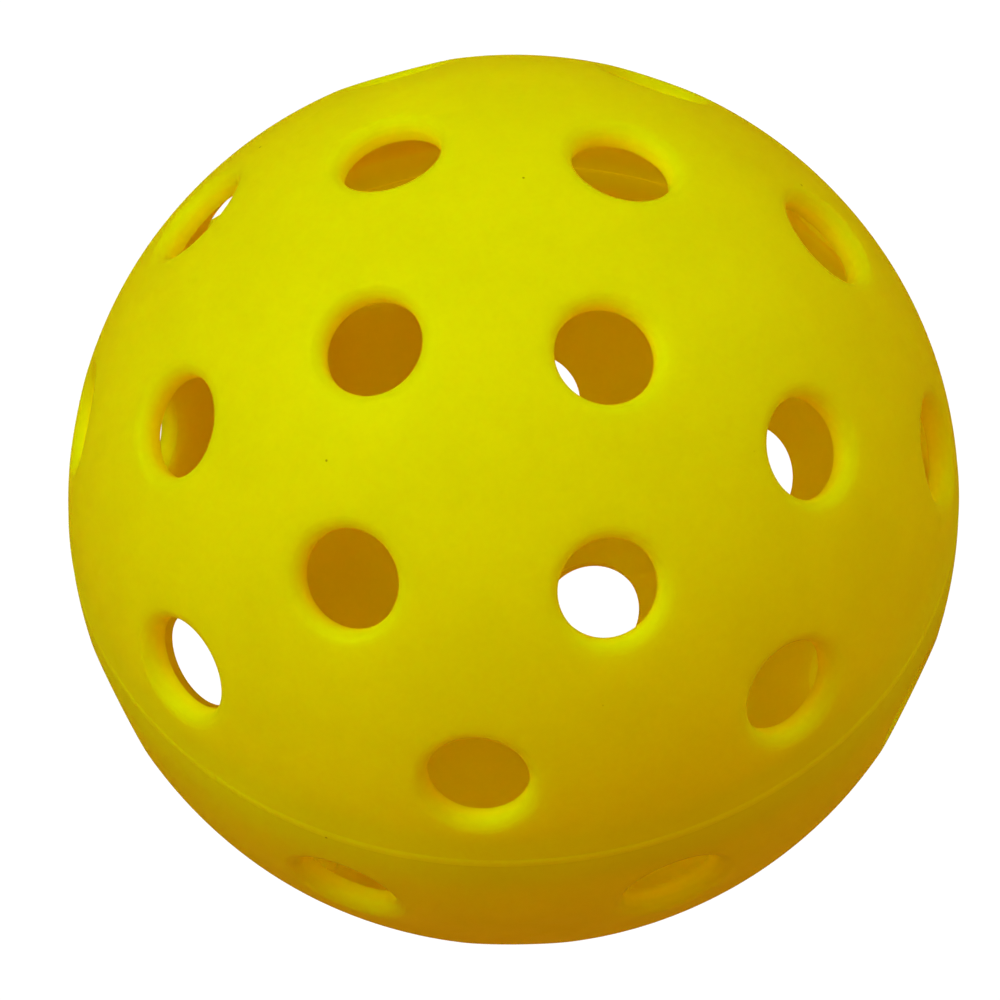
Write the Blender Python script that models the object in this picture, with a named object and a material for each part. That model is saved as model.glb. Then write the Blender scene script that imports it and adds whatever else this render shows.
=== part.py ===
"""A pickleball ball: two perforated half shells and the weld seam that joins them.

Metres, +Z up. The origin is at the ball's centre and +Z runs through the pole of the
upper half, square to the plane of the weld. Both halves come from one mould, with their
holes in three rings round the pole, every hole bored towards the ball's centre. The lower
half lies upside down, and the weld caught the two turned against each other about the
pole axis. +X lies midway between them, so each half is turned by as much from it.
"""

import math

import bmesh
import bpy
from mathutils import Matrix, Vector
from mathutils.geometry import delaunay_2d_cdt

MM = 0.001

# Driving dimensions of the ball.
BALL_RADIUS = 37.0 * MM
WALL = 2.1 * MM
HOLE_RADIUS = 4.23 * MM
MOUTH_ROUND = 1.1 * MM

# Each ring of a half: polar angle of its holes, how many, azimuth of the first (degrees).
HOLE_RINGS = (
    (22.0, 4, 22.5),
    (50.3, 8, 0.0),
    (75.6, 8, 22.5),
)
TURN_BETWEEN_HALVES = 25.5  # degrees about +Z, from the upper half to the lower

# The weld seam: a thin web between the two rims, and the roll of melt inside the wall.
FIT_GAP = 0.3 * MM
WEB_THICKNESS = 0.4 * MM
SEAM_PROUD = 0.1 * MM
ROLL_WIDTH = 1.2 * MM
ROLL_THICKNESS = 0.4 * MM

# Mesh fineness.
HOLE_SIDES = 20
MOUTH_STEPS = 2
RIM_SIDES = 80
SKIN_SPACING = 5.6 * MM
ROLL_STEPS = 4
SMOOTH_ANGLE = math.radians(35)

INNER_RADIUS = BALL_RADIUS - WALL
RIM_HEIGHT = WEB_THICKNESS / 2 + FIT_GAP
ROLL_OUTER_RADIUS = INNER_RADIUS - FIT_GAP

SHELL_YELLOW = (0.66, 0.68, 0.005, 1.0)
SEAM_YELLOW = (0.60, 0.57, 0.005, 1.0)


def clear_scene():
    for old in list(bpy.data.objects):
        bpy.data.objects.remove(old, do_unlink=True)


def plastic(name, colour, roughness):
    material = bpy.data.materials.new(name)
    material.use_nodes = True
    shader = material.node_tree.nodes["Principled BSDF"]
    shader.inputs["Base Color"].default_value = colour
    shader.inputs["Roughness"].default_value = roughness
    shader.inputs["Metallic"].default_value = 0.0
    material.diffuse_color = colour
    return material


def hole_axes():
    """One turn per hole, which carries +Z onto the hole's axis."""
    axes = []
    for polar, count, first in HOLE_RINGS:
        for number in range(count):
            azimuth = math.radians(first + number * 360 / count)
            tilt = Matrix.Rotation(math.radians(polar), 3, "Y")
            axes.append(Matrix.Rotation(azimuth, 3, "Z") @ tilt)
    return axes


def hole_profile():
    """(distance from the hole's axis, height along it), from the mouth's edge to the inside."""
    centre_out = HOLE_RADIUS + MOUTH_ROUND
    centre_up = math.sqrt((BALL_RADIUS - MOUTH_ROUND) ** 2 - centre_out**2)
    start = math.atan2(centre_up, centre_out)
    profile = []
    for step in range(MOUTH_STEPS + 1):
        angle = start + (math.pi - start) * step / MOUTH_STEPS
        out = centre_out + MOUTH_ROUND * math.cos(angle)
        up = centre_up + MOUTH_ROUND * math.sin(angle)
        profile.append((out, up))
    profile.append((HOLE_RADIUS, math.sqrt(INNER_RADIUS**2 - HOLE_RADIUS**2)))
    # the tangent point of the rounding is stretched onto the sphere exactly
    out, up = profile[0]
    onto_sphere = BALL_RADIUS / math.hypot(out, up)
    profile[0] = (out * onto_sphere, up * onto_sphere)
    return profile


def circle(out, up, sides):
    """Points of a circle round +Z, at a distance from it and a height."""
    step = 2 * math.pi / sides
    return [
        Vector((out * math.cos(n * step), out * math.sin(n * step), up))
        for n in range(sides)
    ]


def spread_points(spacing):
    """Unit directions spread evenly over the upper half, from the pole down."""
    count = round(2 * math.pi * BALL_RADIUS**2 / (spacing**2 * math.sqrt(3) / 2))
    golden_turn = math.pi * (3 - math.sqrt(5))
    points = [Vector((0, 0, 1))]
    for number in range(1, count):
        height = 1 - number / count
        out = math.sqrt(1 - height**2)
        turn = number * golden_turn
        points.append(Vector((out * math.cos(turn), out * math.sin(turn), height)))
    return points


def flatten(point):
    """Stereographic view from the far pole, which keeps circles round and triangles well shaped."""
    direction = point.normalized()
    return Vector((direction.x, direction.y)) / (1 + direction.z)


def skin_faces(loops, axes, hole_edge, fill):
    """Triangles over the half sphere between its rim, loops[0], and its holes, loops[1:].

    Returns them as corner numbers into the loops' points, one loop after another, then fill.
    """
    points = [point for loop in loops for point in loop] + fill
    edges = []
    start = 0
    for loop in loops:
        for number in range(len(loop)):
            edges.append((start + number, start + (number + 1) % len(loop)))
        start += len(loop)
    flat = [flatten(point) for point in points]
    _, _, faces, originals, _, _ = delaunay_2d_cdt(flat, edges, [], 0, 1e-7)
    in_hole = math.cos(hole_edge)
    kept = []
    for face in faces:
        corners = [originals[corner][0] for corner in face]
        middle = sum((points[corner] for corner in corners), Vector()).normalized()
        if all(middle.dot(axis.col[2]) < in_hole for axis in axes):
            kept.append(corners)
    return kept


def clear_fill(axes, hole_edge):
    """Fill directions that keep their distance from the holes' edges and from the rim."""
    angle = SKIN_SPACING / BALL_RADIUS
    nearest = math.cos(hole_edge + 0.55 * angle)
    lowest = RIM_HEIGHT / BALL_RADIUS + 0.6 * angle
    return [
        point
        for point in spread_points(SKIN_SPACING)
        if point.z > lowest and all(point.dot(axis.col[2]) < nearest for axis in axes)
    ]


def add_skin(mesh, radius, rim, mouths, axes, hole_edge, outward):
    """Adds one spherical face of the shell between a rim and the holes' edges."""
    fill = [direction * radius for direction in clear_fill(axes, hole_edge)]
    corners = rim + [corner for mouth in mouths for corner in mouth]
    corners += [mesh.verts.new(point) for point in fill]
    loops = [[corner.co for corner in loop] for loop in [rim] + mouths]
    for face in skin_faces(loops, axes, hole_edge, fill):
        order = face if outward else reversed(face)
        mesh.faces.new([corners[number] for number in order])


def bridge(mesh, upper, lower):
    """A band of faces between two loops of as many corners."""
    sides = len(upper)
    for number in range(sides):
        after = (number + 1) % sides
        band = (upper[number], upper[after], lower[after], lower[number])
        mesh.faces.new(band)


def half_shell_mesh():
    """The upper half shell as one closed body."""
    mesh = bmesh.new()
    axes = hole_axes()
    profile = hole_profile()

    rims = []
    for radius in (BALL_RADIUS, INNER_RADIUS):
        out = math.sqrt(radius**2 - RIM_HEIGHT**2)
        rims.append([mesh.verts.new(point) for point in circle(out, RIM_HEIGHT, RIM_SIDES)])

    mouths, throats = [], []
    for axis in axes:
        rings = []
        for out, up in profile:
            ring = [axis @ point for point in circle(out, up, HOLE_SIDES)]
            rings.append([mesh.verts.new(point) for point in ring])
        for outer, inner in zip(rings, rings[1:]):
            bridge(mesh, outer, inner)
        mouths.append(rings[0])
        throats.append(rings[-1])

    mouth_edge = math.atan2(*profile[0])
    throat_edge = math.atan2(*profile[-1])
    add_skin(mesh, BALL_RADIUS, rims[0], mouths, axes, mouth_edge, True)
    add_skin(mesh, INNER_RADIUS, rims[1], throats, axes, throat_edge, False)
    bridge(mesh, rims[1], rims[0])
    bmesh.ops.recalc_face_normals(mesh, faces=mesh.faces[:])
    return mesh


def seam_profile():
    """The seam's closed section: (distance from the pole axis, height)."""
    web = WEB_THICKNESS / 2
    section = [(BALL_RADIUS + SEAM_PROUD, -web), (BALL_RADIUS + SEAM_PROUD, web)]
    section += [(ROLL_OUTER_RADIUS, web)]
    # the roll is flat towards the wall and rounded towards the hollow
    for step in range(ROLL_STEPS + 1):
        angle = math.pi * step / ROLL_STEPS
        height = ROLL_WIDTH / 2 * math.cos(angle)
        section.append((ROLL_OUTER_RADIUS - ROLL_THICKNESS * math.sin(angle), height))
    section += [(ROLL_OUTER_RADIUS, -web)]
    return section


def seam_mesh():
    """The weld seam, its section turned about the pole axis."""
    mesh = bmesh.new()
    rings = []
    for out, up in seam_profile():
        rings.append([mesh.verts.new(point) for point in circle(out, up, RIM_SIDES)])
    for ring, after in zip(rings, rings[1:] + rings[:1]):
        bridge(mesh, ring, after)
    bmesh.ops.recalc_face_normals(mesh, faces=mesh.faces[:])
    return mesh


def add_object(name, mesh, material):
    data = bpy.data.meshes.new(name)
    mesh.to_mesh(data)
    mesh.free()
    data.materials.append(material)
    data.shade_smooth()
    data.set_sharp_from_angle(angle=SMOOTH_ANGLE)
    thing = bpy.data.objects.new(name, data)
    bpy.context.scene.collection.objects.link(thing)
    return thing


def turned_half(upside_down):
    """A half shell in its place: the upper one turned back from +X, the lower one forward."""
    mesh = half_shell_mesh()
    turn = math.radians(TURN_BETWEEN_HALVES / 2)
    if upside_down:
        mirrored = Matrix.Scale(-1, 4, (0, 0, 1))
        place = Matrix.Rotation(turn, 4, "Z") @ mirrored
    else:
        place = Matrix.Rotation(-turn, 4, "Z")
    bmesh.ops.transform(mesh, matrix=place, verts=mesh.verts[:])
    if upside_down:
        bmesh.ops.reverse_faces(mesh, faces=mesh.faces[:])
    return mesh


def build():
    clear_scene()
    shell_plastic = plastic("shell_plastic", SHELL_YELLOW, 0.42)
    seam_plastic = plastic("seam_plastic", SEAM_YELLOW, 0.38)
    add_object("upper_half_shell", turned_half(False), shell_plastic)
    add_object("lower_half_shell", turned_half(True), shell_plastic)
    add_object("weld_seam", seam_mesh(), seam_plastic)


build()
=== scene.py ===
"""The looks of a pickleball ball: its two half shells and the weld seam between them.

Metres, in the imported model's frame: the origin is the ball's centre, +Z its pole axis.
"""

import math

import bpy
import numpy as np
from mathutils import Matrix, Vector, noise
from mathutils.geometry import delaunay_2d_cdt


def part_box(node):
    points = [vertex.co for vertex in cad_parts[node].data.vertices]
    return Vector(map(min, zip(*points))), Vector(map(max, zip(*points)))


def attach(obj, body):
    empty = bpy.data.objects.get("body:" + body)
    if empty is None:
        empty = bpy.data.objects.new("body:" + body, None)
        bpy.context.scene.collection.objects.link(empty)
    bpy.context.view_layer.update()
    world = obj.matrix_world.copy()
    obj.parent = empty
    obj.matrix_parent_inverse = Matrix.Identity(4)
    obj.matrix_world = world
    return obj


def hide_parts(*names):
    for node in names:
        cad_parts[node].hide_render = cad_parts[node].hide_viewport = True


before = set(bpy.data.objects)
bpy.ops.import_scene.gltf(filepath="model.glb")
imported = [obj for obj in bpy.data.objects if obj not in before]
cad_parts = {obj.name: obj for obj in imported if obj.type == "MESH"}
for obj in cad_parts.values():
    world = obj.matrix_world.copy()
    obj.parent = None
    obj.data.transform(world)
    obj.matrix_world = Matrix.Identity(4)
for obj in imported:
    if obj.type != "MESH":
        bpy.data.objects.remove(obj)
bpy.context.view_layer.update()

MM = 0.001

# The ball's sizes, as the CAD has them.
BALL_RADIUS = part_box("upper_half_shell")[1][2]
WALL = 2.1 * MM
INNER_RADIUS = BALL_RADIUS - WALL
HOLE_RADIUS = 4.23 * MM
MOUTH_ROUND = 1.1 * MM
THROAT_ROUND = 0.18 * MM
HOLE_RINGS = (  # polar angle, number of holes, azimuth of the first, in degrees
    (22.0, 4, 22.5),
    (50.3, 8, 0.0),
    (75.6, 8, 22.5),
)
TURN_BETWEEN_HALVES = math.radians(25.5)

# The rings that the tool left in each mouth: their depth, and the steps of the mouth's
# curve from one to the next.
TOOL_MARK = 0.008 * MM
STEPS_BETWEEN_MARKS = 4

# The seam as it shows: a low line of melt outside and a thin roll inside.
BEAD_WIDTH = 0.9 * MM
BEAD_HEIGHT = 0.03 * MM
ROLL_WIDTH = 0.4 * MM
ROLL_HEIGHT = 0.1 * MM

# The melt is uneven along the seam: by what share of its height, and over what length.
FLOW = 0.3
FLOW_LENGTH = 4 * MM

# A thin moulding is never quite round: how far it is out, and over what length.
SWAY = 0.03 * MM
SWAY_LENGTH = 11 * MM

# Mesh fineness.
HOLE_SIDES = 72
MOUTH_STEPS = 18
THROAT_STEPS = 3
RIM_SIDES = 360
RIM_BAND = 0.25 * MM
BEAD_STEPS = 10
OUTER_SPACING = 1.0 * MM
INNER_SPACING = 1.6 * MM
CLEAR_OF_HOLES = 0.6  # from fill points to a hole, as a share of their spacing
CLEAR_OF_RIM = 0.7  # the same, to the rim
SAME_POINT = 1e-9  # closer points are taken for one
WHOLE_HULL = 0  # the triangulation wanted: right across, holes included
SHARP_ANGLE = math.radians(50)


# ---------------------------------------------------------------- shell geometry


def hole_axes():
    """One turn per hole, which carries +Z onto the hole's axis."""
    axes = []
    for polar, count, first in HOLE_RINGS:
        for number in range(count):
            azimuth = math.radians(first + number * 360 / count)
            tilt = Matrix.Rotation(math.radians(polar), 3, "Y")
            axes.append(Matrix.Rotation(azimuth, 3, "Z") @ tilt)
    return axes


def hole_profile():
    """A hole's (distance from its axis, height along it), from mouth to inside face."""
    centre_out = HOLE_RADIUS + MOUTH_ROUND
    centre_up = math.sqrt((BALL_RADIUS - MOUTH_ROUND) ** 2 - centre_out**2)
    start = math.atan2(centre_up, centre_out)
    profile = []
    for step in range(MOUTH_STEPS + 1):
        angle = start + (math.pi - start) * step / MOUTH_STEPS
        marked = step % STEPS_BETWEEN_MARKS == STEPS_BETWEEN_MARKS // 2
        round_here = MOUTH_ROUND - (TOOL_MARK if marked else 0.0)
        out = centre_out + round_here * math.cos(angle)
        profile.append((out, centre_up + round_here * math.sin(angle)))
    centre_out = HOLE_RADIUS + THROAT_ROUND
    centre_up = math.sqrt((INNER_RADIUS + THROAT_ROUND) ** 2 - centre_out**2)
    end = math.pi + math.atan2(centre_up, centre_out)
    for step in range(THROAT_STEPS + 1):
        angle = math.pi + (end - math.pi) * step / THROAT_STEPS
        out = centre_out + THROAT_ROUND * math.cos(angle)
        profile.append((out, centre_up + THROAT_ROUND * math.sin(angle)))
    return profile


def circle(out, up, sides, first=0.0):
    """Points of a circle round +Z, at a distance from it and a height."""
    turn = first + np.arange(sides) * 2 * math.pi / sides
    return np.c_[out * np.cos(turn), out * np.sin(turn), np.full(sides, up)]


def rim_circle(radius, height, first=0.0):
    """A circle on a sphere round the origin, at a height over the parting plane."""
    return circle(math.sqrt(radius**2 - height**2), height, RIM_SIDES, first)


def sway(points):
    """The points, each a little further in or out."""
    lean = [noise.noise(Vector(point) / SWAY_LENGTH) for point in points.tolist()]
    return points * (1 + SWAY / BALL_RADIUS * np.array(lean))[:, None]


def spread_points(radius, spacing):
    """Unit directions on a golden spiral over the upper half, from the pole down."""
    area_each = spacing**2 * math.sqrt(3) / 2
    count = round(2 * math.pi * radius**2 / area_each)
    number = np.arange(count)
    height = 1 - number / count
    out = np.sqrt(1 - height**2)
    turn = number * math.pi * (3 - math.sqrt(5))
    return np.c_[out * np.cos(turn), out * np.sin(turn), height]


def skin(radius, spacing, loops, axes, hole_edge):
    """Points and triangles that fill a spherical face between its rim and its holes.

    The rim is loops[0], and hole_edge is a hole's angle from its axis. The triangles
    number the loops' points, one loop after another, and then the fill points.
    """
    centres = np.array([axis.col[2] for axis in axes])
    angle = spacing / radius
    fill = spread_points(radius, spacing)
    nearest = (fill @ centres.T).max(axis=1)
    rim = loops[0][0][2] / radius
    off_holes = nearest < math.cos(hole_edge + CLEAR_OF_HOLES * angle)
    off_rim = fill[:, 2] > rim + CLEAR_OF_RIM * angle
    fill = fill[off_holes & off_rim] * radius
    points = np.concatenate(loops + [fill])
    unit = points / np.linalg.norm(points, axis=1)[:, None]
    flat = unit[:, :2] / (1 + unit[:, 2:])
    edges, start = [], 0
    for loop in loops:
        ring = start + np.arange(len(loop))
        edges += zip(ring.tolist(), np.roll(ring, -1).tolist())
        start += len(loop)
    flat = [Vector(point) for point in flat.tolist()]
    made = delaunay_2d_cdt(flat, edges, [], WHOLE_HULL, SAME_POINT)
    _, _, faces, originals, _, _ = made
    faces = np.array([[originals[corner][0] for corner in face] for face in faces])
    middle = unit[faces].mean(axis=1)
    middle /= np.linalg.norm(middle, axis=1)[:, None]
    off_holes = (middle @ centres.T).max(axis=1) < math.cos(hole_edge)
    return fill, faces[off_holes]


def half_shell(name, upside_down):
    """One half of the ball as a fine closed mesh, in its place."""
    axes = hole_axes()
    profile = hole_profile()
    points, faces = [], []
    total = 0

    def add(new):
        nonlocal total
        points.append(new)
        total += len(new)
        return np.arange(total - len(new), total)

    def band(first, second):
        after = np.roll(np.arange(len(first)), -1)
        quads = np.c_[first, first[after], second[after], second]
        faces.extend(quads.tolist())

    turn = (1 if upside_down else -1) * TURN_BETWEEN_HALVES / 2
    rims, skin_rims = [], []
    for radius, width in ((BALL_RADIUS, BEAD_WIDTH), (INNER_RADIUS, ROLL_WIDTH)):
        rims.append(add(rim_circle(radius, width / 2, -turn)))
        skin_rims.append(add(rim_circle(radius, width / 2 + RIM_BAND, -turn)))
    band(rims[1], rims[0])
    band(rims[0], skin_rims[0])
    band(skin_rims[1], rims[1])

    mouths, throats = [], []
    for axis in axes:
        turned = np.array(axis).T
        rings = [add(circle(out, up, HOLE_SIDES) @ turned) for out, up in profile]
        for outer, inner in zip(rings, rings[1:]):
            band(outer, inner)
        mouths.append(rings[0])
        throats.append(rings[-1])

    for radius, spacing, rim, loops, edge, outward in (
        (BALL_RADIUS, OUTER_SPACING, skin_rims[0], mouths, profile[0], True),
        (INNER_RADIUS, INNER_SPACING, skin_rims[1], throats, profile[-1], False),
    ):
        so_far = np.concatenate(points)
        numbers = [rim] + loops
        borders = [so_far[ring] for ring in numbers]
        fill, triangles = skin(radius, spacing, borders, axes, math.atan2(*edge))
        lookup = np.concatenate(numbers + [add(fill)])
        triangles = lookup[triangles]
        faces.extend((triangles if outward else triangles[:, ::-1]).tolist())

    points = np.concatenate(points)
    if upside_down:
        points = points * (1, 1, -1)
        faces = [face[::-1] for face in faces]
    points = points @ np.array(Matrix.Rotation(-turn, 3, "Z"))
    return new_piece(name, sway(points), faces)


# ---------------------------------------------------------------- weld seam


def weld_seam(name):
    """The seam's closed section, carried round the pole axis and uneven along it."""
    section = []  # radius, height over the parting plane, how far it stands proud
    across = [math.pi * step / BEAD_STEPS for step in range(BEAD_STEPS + 1)]
    for angle in across:
        proud = math.sin(angle) ** 2 * BEAD_HEIGHT
        section.append((BALL_RADIUS, BEAD_WIDTH / 2 * math.cos(angle), proud))
    for angle in across:
        proud = -math.sin(angle) * ROLL_HEIGHT
        section.append((INNER_RADIUS, -ROLL_WIDTH / 2 * math.cos(angle), proud))
    points = []
    for radius, height, proud in section:
        ring = rim_circle(radius, height)
        flow = [noise.noise(Vector(point) / FLOW_LENGTH) for point in ring.tolist()]
        swell = 1 + FLOW * np.array(flow)
        points.append(ring * (1 + swell * proud / radius)[:, None])
    points = np.concatenate(points)
    faces = []
    for ring in range(len(section)):
        after = (ring + 1) % len(section)
        for side in range(RIM_SIDES):
            beside = (side + 1) % RIM_SIDES
            corners = ((ring, side), (after, side), (after, beside), (ring, beside))
            faces.append([row * RIM_SIDES + place for row, place in corners])
    return new_piece(name, sway(points), faces)


def new_piece(name, points, faces):
    """An object made of a smooth-shaded mesh whose sharp edges stay sharp."""
    data = bpy.data.meshes.new(name)
    data.from_pydata(points.tolist(), [], faces)
    data.validate()
    data.shade_smooth()
    data.set_sharp_from_angle(angle=SHARP_ANGLE)
    piece = bpy.data.objects.new(name, data)
    bpy.context.scene.collection.objects.link(piece)
    return piece


# ---------------------------------------------------------------- materials

# The plastic's colour on the outside face and on the inside one, and the radii between
# which, through the holes' flanks, it goes from one to the other. The inside colour is
# lighter than the plastic's own: painted light for the light that comes through the
# wall, and the holes' flanks take it on too.
OUTSIDE = (0.645, 0.62, 0.002, 1.0)
INSIDE = (0.905, 0.79, 0.002, 1.0)
INSIDE_ENDS = INNER_RADIUS + 0.4 * MM
OUTSIDE_STARTS = BALL_RADIUS - 0.1 * MM
UPPER_TINT = (1.0, 1.0, 1.0, 1.0)
LOWER_TINT = (0.93, 0.95, 1.0, 1.0)
# The seam's bead is drawn lighter than the shells: a painted highlight.
SEAM_PAINTED_HIGHLIGHT = (1.04, 1.08, 1.0, 1.0)
LIGHT_SPREAD = (6.3, 3.2, 0.2)  # how far light travels in the plastic, mm, red to blue

# Light doesn't spread from piece to piece, so the plastic beside the seam scatters less
# outside, and its colour is raised on both faces: painted light, for the light that
# would spread across the seam.
SEAM_BELT = 6 * MM
SEAM_PAINTED_LIGHT = (1.08, 1.10, 1.0, 1.0)
SEAM_PAINTED_LIGHT_INSIDE = (1.35, 1.65, 1.0, 1.0)

# A narrower belt of the inside face, where plain diffuse plastic takes over, lighter
# than
# any plastic can be: a painted glow for the light that would come across the seam.
EDGE_BELT = 2.5 * MM
EDGE_INSIDE_PAINTED_GLOW = (1.7, 1.5, 0.004, 1.0)

# Nearly all of a noise texture's values lie between these.
NOISE_SPAN = (0.3, 0.7)

# Cloudiness and grain: the size of their features, and how far they shade the colour.
CLOUD_SIZE = 8 * MM
CLOUD_SHADES = (0.98, 1.02)
GRAIN_SIZE = 0.5 * MM
GRAIN_SHADES = (0.993, 1.007)

# Dark specks in the plastic.
SPECK_SPACING = 7 * MM
SPECK_SIZE = 0.16 * MM
SPECK_STRENGTH = 0.7
BURNT = (0.16, 0.09, 0.01, 1.0)

# Roughness: how it varies, what scuffs add where their noise is high, and what the
# inside face adds.
ROUGHNESS = (0.4, 0.5)
ROUGHNESS_SIZE = 5 * MM
SCUFF_SIZE = 3 * MM
SCUFF_SPAN = (0.55, 0.75)
SCUFFED = 0.12
MATT_INSIDE = 0.15

# Relief: the moulding's shallow ripples and its orange peel.
RIPPLE_SIZE = 6 * MM
RIPPLE_HEIGHT = 0.03 * MM
PEEL_SIZE = 0.6 * MM
PEEL_HEIGHT = 0.002 * MM

GLOSS = 0.3
GLOSS_TINT = (1.0, 0.95, 0.05, 1.0)


class Nodes:
    """Short names for adding and linking the nodes of a material or the world."""

    def __init__(self, owner):
        owner.use_nodes = True
        self.tree = owner.node_tree

    def __getitem__(self, name):
        return self.tree.nodes[name]

    def add(self, kind, **settings):
        node = self.tree.nodes.new("ShaderNode" + kind)
        for key, value in settings.items():
            setattr(node, key, value)
        return node

    def link(self, source, target):
        self.tree.links.new(source, target)

    def feed(self, value, target):
        """Links a socket, or sets a constant."""
        if isinstance(value, (int, float, tuple)):
            target.default_value = value
        else:
            self.link(value, target)

    def math(self, operation, first, second=0.0):
        node = self.add("Math", operation=operation)
        self.feed(first, node.inputs[0])
        self.feed(second, node.inputs[1])
        return node.outputs[0]

    def length(self, where):
        node = self.add("VectorMath", operation="LENGTH")
        self.link(where, node.inputs[0])
        return node.outputs["Value"]

    def range(self, value, low, high, to_low=0.0, to_high=1.0):
        """The value, carried smoothly from the range low to high onto another."""
        node = self.add("MapRange", interpolation_type="SMOOTHSTEP")
        self.link(value, node.inputs["Value"])
        node.inputs["From Min"].default_value = low
        node.inputs["From Max"].default_value = high
        node.inputs["To Min"].default_value = to_low
        node.inputs["To Max"].default_value = to_high
        return node.outputs["Result"]

    def mix(self, factor, first, second, blend="MIX"):
        """A blend of two colours: sockets 6 and 7 of a Mix node, whose result is 2."""
        node = self.add("Mix", data_type="RGBA", blend_type=blend)
        for socket, value in ((0, factor), (6, first), (7, second)):
            self.feed(value, node.inputs[socket])
        return node.outputs[2]

    def noise(self, where, size, detail=2.0, rough=0.5):
        """Noise with features of about a size, in metres."""
        node = self.add("TexNoise")
        node.inputs["Scale"].default_value = 1 / size
        node.inputs["Detail"].default_value = detail
        node.inputs["Roughness"].default_value = rough
        self.link(where, node.inputs["Vector"])
        return node.outputs["Fac"]

    def vary(self, where, size, between, detail=2.0):
        """A value that wanders between two, with features of about a size."""
        return self.range(self.noise(where, size, detail), *NOISE_SPAN, *between)


def plastic_colour(n, where, outwards, tint):
    """Its colour away from the seam: lighter inside as painted light for light through
    the wall, tinted (on the seam's bead, a painted highlight), cloudy and grainy, with
    specks.
    """
    # Painted light: the inside face and the holes' flanks are lighter, for light through
    # the wall.
    colour = n.mix(outwards, INSIDE, OUTSIDE)
    # For the seam's bead this tint is a painted highlight.
    colour = n.mix(1.0, colour, tint, "MULTIPLY")
    cloud = n.vary(where, CLOUD_SIZE, CLOUD_SHADES, detail=3.0)
    grain = n.vary(where, GRAIN_SIZE, GRAIN_SHADES, detail=1.0)
    colour = n.mix(1.0, colour, n.math("MULTIPLY", cloud, grain), "MULTIPLY")
    speck = n.add("TexVoronoi")
    speck.inputs["Scale"].default_value = 1 / SPECK_SPACING
    n.link(where, speck.inputs["Vector"])
    reach = SPECK_SIZE / SPECK_SPACING
    from_speck = speck.outputs["Distance"]
    burnt = n.range(from_speck, 0.5 * reach, reach, SPECK_STRENGTH, 0.0)
    return n.mix(burnt, colour, BURNT)


def plastic_roughness(n, where, outwards):
    """Satin outside, with scuffs, and matt inside."""
    rough = n.vary(where, ROUGHNESS_SIZE, ROUGHNESS)
    scuff = n.noise(where, SCUFF_SIZE, detail=5.0, rough=0.65)
    scuff = n.range(scuff, *SCUFF_SPAN, 0.0, SCUFFED)
    matt = n.range(outwards, 0.0, 1.0, MATT_INSIDE, 0.0)
    return n.math("ADD", n.math("ADD", rough, scuff), matt)


def plastic_relief(n, where):
    """The direction of its surface, with the ripples and the peel."""
    ripple = n.noise(where, RIPPLE_SIZE, detail=1.0)
    ripple = n.math("MULTIPLY", ripple, RIPPLE_HEIGHT)
    peel = n.math("MULTIPLY", n.noise(where, PEEL_SIZE), PEEL_HEIGHT)
    bump = n.add("Bump")
    bump.inputs["Distance"].default_value = 1.0
    n.link(n.math("ADD", ripple, peel), bump.inputs["Height"])
    return bump.outputs[0]


def shell_plastic(name, tint, spreads):
    """Yellow plastic that light spreads in.

    spreads is False for the seam's own piece, where it doesn't. In the shells it fades
    out towards the seam on the outside face alone.
    """
    material = bpy.data.materials.new(name)
    n = Nodes(material)
    shader = n["Principled BSDF"]
    where = n.add("TexCoord").outputs["Object"]
    outwards = n.range(n.length(where), INSIDE_ENDS, OUTSIDE_STARTS)
    split = n.add("SeparateXYZ")
    n.link(where, split.inputs[0])
    off_seam = n.math("ABSOLUTE", split.outputs["Z"])
    at_seam = n.range(off_seam, 0.0, SEAM_BELT, 1.0, 0.0)
    at_edge = n.range(off_seam, 0.0, EDGE_BELT, 1.0, 0.0)

    shader.subsurface_method = "BURLEY"
    shader.inputs["Subsurface Weight"].default_value = 1.0
    shader.inputs["Subsurface Radius"].default_value = LIGHT_SPREAD
    fading = n.math("MULTIPLY", at_seam, outwards if spreads else 1.0)
    scale = n.math("MULTIPLY", n.math("SUBTRACT", 1.0, fading), MM)
    n.link(scale, shader.inputs["Subsurface Scale"])

    colour = plastic_colour(n, where, outwards, tint)
    # Painted light: beside the seam the colour is raised on both faces, for light that
    # would cross the seam.
    raised = n.mix(outwards, SEAM_PAINTED_LIGHT_INSIDE, SEAM_PAINTED_LIGHT)
    raised = n.mix(1.0, colour, raised, "MULTIPLY")
    n.link(n.mix(at_seam, colour, raised), shader.inputs["Base Color"])

    n.link(plastic_roughness(n, where, outwards), shader.inputs["Roughness"])
    n.link(plastic_relief(n, where), shader.inputs["Normal"])
    shader.inputs["Specular IOR Level"].default_value = GLOSS
    shader.inputs["Specular Tint"].default_value = GLOSS_TINT

    # A painted glow: the inside face beside the seam, brighter than its light could make
    # it.
    edge = n.add("BsdfDiffuse")
    edge.inputs["Color"].default_value = EDGE_INSIDE_PAINTED_GLOW
    blend = n.add("MixShader")
    inside = n.math("SUBTRACT", 1.0, outwards)
    n.link(n.math("MULTIPLY", at_edge, inside), blend.inputs[0])
    n.link(shader.outputs[0], blend.inputs[1])
    n.link(edge.outputs[0], blend.inputs[2])
    n.link(blend.outputs[0], n["Material Output"].inputs["Surface"])
    return material


# ---------------------------------------------------------------- stage, light, camera

# Camera axes in the ball's frame.
VIEW_RIGHT = Vector((-0.8564, 0.5148, -0.0395))
VIEW_UP = Vector((-0.4344, -0.6770, 0.5941))
VIEW_BACK = VIEW_RIGHT.cross(VIEW_UP).normalized()
CAMERA_DISTANCE = 39.6 * BALL_RADIUS
BALL_IN_FRAME = 0.891  # the ball's width, as a share of the picture's
BALL_RIGHT_OF_MIDDLE = 0.0135  # as a share of the picture's width

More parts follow.
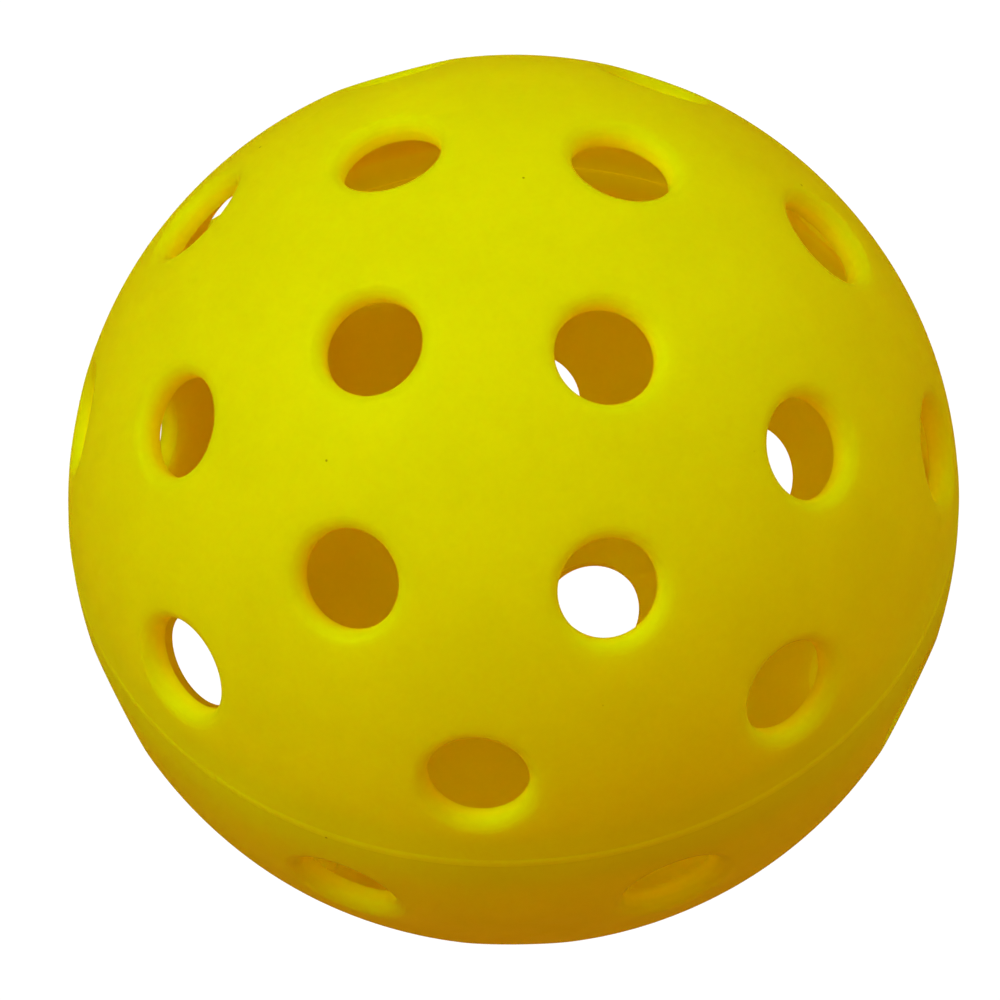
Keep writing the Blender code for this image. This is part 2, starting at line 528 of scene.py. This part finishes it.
# Each light: its direction from the ball, and what it adds to a white surface that
# faces it.
LIGHTS = {
    "key_light": ((0.50, -0.205, 0.84), (0.368, 0.71, 0.05)),
    "side_light": ((-0.798, 0.12, 0.547), (0.112, 0.268, 0.02)),
}
LIGHT_SIZE = 0.9
LIGHT_DISTANCE = 1.2

# The light from all round: its place, from 0 straight below to 1 straight above, and
# its colour there.
SURROUNDINGS = (
    (0.1, (0.52, 0.22, 0.01, 1.0)),
    (0.4, (0.48, 0.15, 0.01, 1.0)),
    (0.55, (0.64, 0.42, 0.01, 1.0)),
)

WHITE = 1.05  # how bright the floor and the background are
FLOOR_SIZE = 6.0
SHADE_RADIUS = 14 * MM
SHADE_MIDDLE = 0.35  # how bright the floor is under the ball's lowest point


def add_camera():
    """The main view's camera, with the ball a little right of the middle."""
    data = bpy.data.cameras.new("camera")
    limb = BALL_RADIUS / math.sqrt(CAMERA_DISTANCE**2 - BALL_RADIUS**2)
    data.sensor_width = 36.0
    data.lens = data.sensor_width * BALL_IN_FRAME / (2 * limb)
    data.clip_start = 0.05
    data.clip_end = 100.0
    camera = bpy.data.objects.new("camera", data)
    bpy.context.scene.collection.objects.link(camera)
    aside = BALL_RIGHT_OF_MIDDLE * data.sensor_width / data.lens * CAMERA_DISTANCE
    camera.location = VIEW_BACK * CAMERA_DISTANCE - VIEW_RIGHT * aside
    turn = Matrix((VIEW_RIGHT, VIEW_UP, VIEW_BACK)).transposed()
    camera.rotation_euler = turn.to_euler()
    bpy.context.scene.camera = camera


def soft_light(name, towards, colour):
    """A round softbox that faces the ball and doesn't show in the picture."""
    data = bpy.data.lights.new(name, "AREA")
    data.shape = "DISK"
    data.size = LIGHT_SIZE
    strength = max(colour)
    # The power that gives this strength to a white surface at that distance.
    data.energy = math.pi**2 * LIGHT_DISTANCE**2 * strength
    data.color = [channel / strength for channel in colour]
    light = bpy.data.objects.new(name, data)
    bpy.context.scene.collection.objects.link(light)
    towards = Vector(towards).normalized()
    light.location = towards * LIGHT_DISTANCE
    light.rotation_euler = towards.to_track_quat("Z", "Y").to_euler()
    light.visible_camera = False


def add_world():
    """Light from all round the ball. The camera sees plain white in its place."""
    world = bpy.data.worlds.new("studio")
    bpy.context.scene.world = world
    n = Nodes(world)
    split = n.add("SeparateXYZ")
    n.link(n.add("TexCoord").outputs["Generated"], split.inputs[0])
    place = n.add("MapRange")
    place.inputs["From Min"].default_value = -1.0
    n.link(split.outputs["Z"], place.inputs["Value"])
    ramp = n.add("ValToRGB")
    n.link(place.outputs["Result"], ramp.inputs["Fac"])
    elements = ramp.color_ramp.elements
    lowest, middle, highest = SURROUNDINGS
    elements[0].position, elements[0].color = lowest
    elements[1].position, elements[1].color = highest
    elements.new(middle[0]).color = middle[1]
    seen = n.add("LightPath").outputs["Is Camera Ray"]
    colour = n.mix(seen, ramp.outputs["Color"], (WHITE, WHITE, WHITE, 1.0))
    n.link(colour, n["Background"].inputs["Color"])


def add_floor():
    """A white floor that glows evenly, shaded only close to where the ball rests."""
    below = (0, 0, -BALL_RADIUS - SWAY)
    bpy.ops.mesh.primitive_plane_add(size=FLOOR_SIZE, location=below)
    floor = bpy.context.object
    floor.name = "floor"
    floor.visible_diffuse = False
    floor.visible_glossy = False
    floor.visible_transmission = False
    floor.visible_shadow = False
    material = bpy.data.materials.new("floor_white")
    n = Nodes(material)
    away = n.length(n.add("TexCoord").outputs["Object"])
    glow = n.add("Emission")
    strength = n.range(away, 0.0, SHADE_RADIUS, SHADE_MIDDLE, WHITE)
    n.link(strength, glow.inputs["Strength"])
    n.link(glow.outputs[0], n["Material Output"].inputs["Surface"])
    n.tree.nodes.remove(n["Principled BSDF"])
    floor.data.materials.append(material)


# ---------------------------------------------------------------- the ball


def build():
    """The three pieces, each in place of its CAD node, and what is round them."""
    upper = half_shell("upper_half", False)
    lower = half_shell("lower_half", True)
    seam = weld_seam("seam_bead")
    for piece, node, slot, tint in (
        (upper, "upper_half_shell", "shell_plastic", UPPER_TINT),
        (lower, "lower_half_shell", "shell_plastic", LOWER_TINT),
        # The seam's tint is a painted highlight along its bead.
        (seam, "weld_seam", "seam_plastic", SEAM_PAINTED_HIGHLIGHT),
    ):
        spreads = piece is not seam
        plastic = shell_plastic(piece.name + "_plastic", tint, spreads)
        piece.data.materials.append(plastic)
        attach(piece, "root")
        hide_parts(node)
    add_floor()
    add_world()
    for name, (towards, colour) in LIGHTS.items():
        soft_light(name, towards, colour)
    add_camera()
    bpy.context.scene.view_settings.view_transform = "Standard"


build()
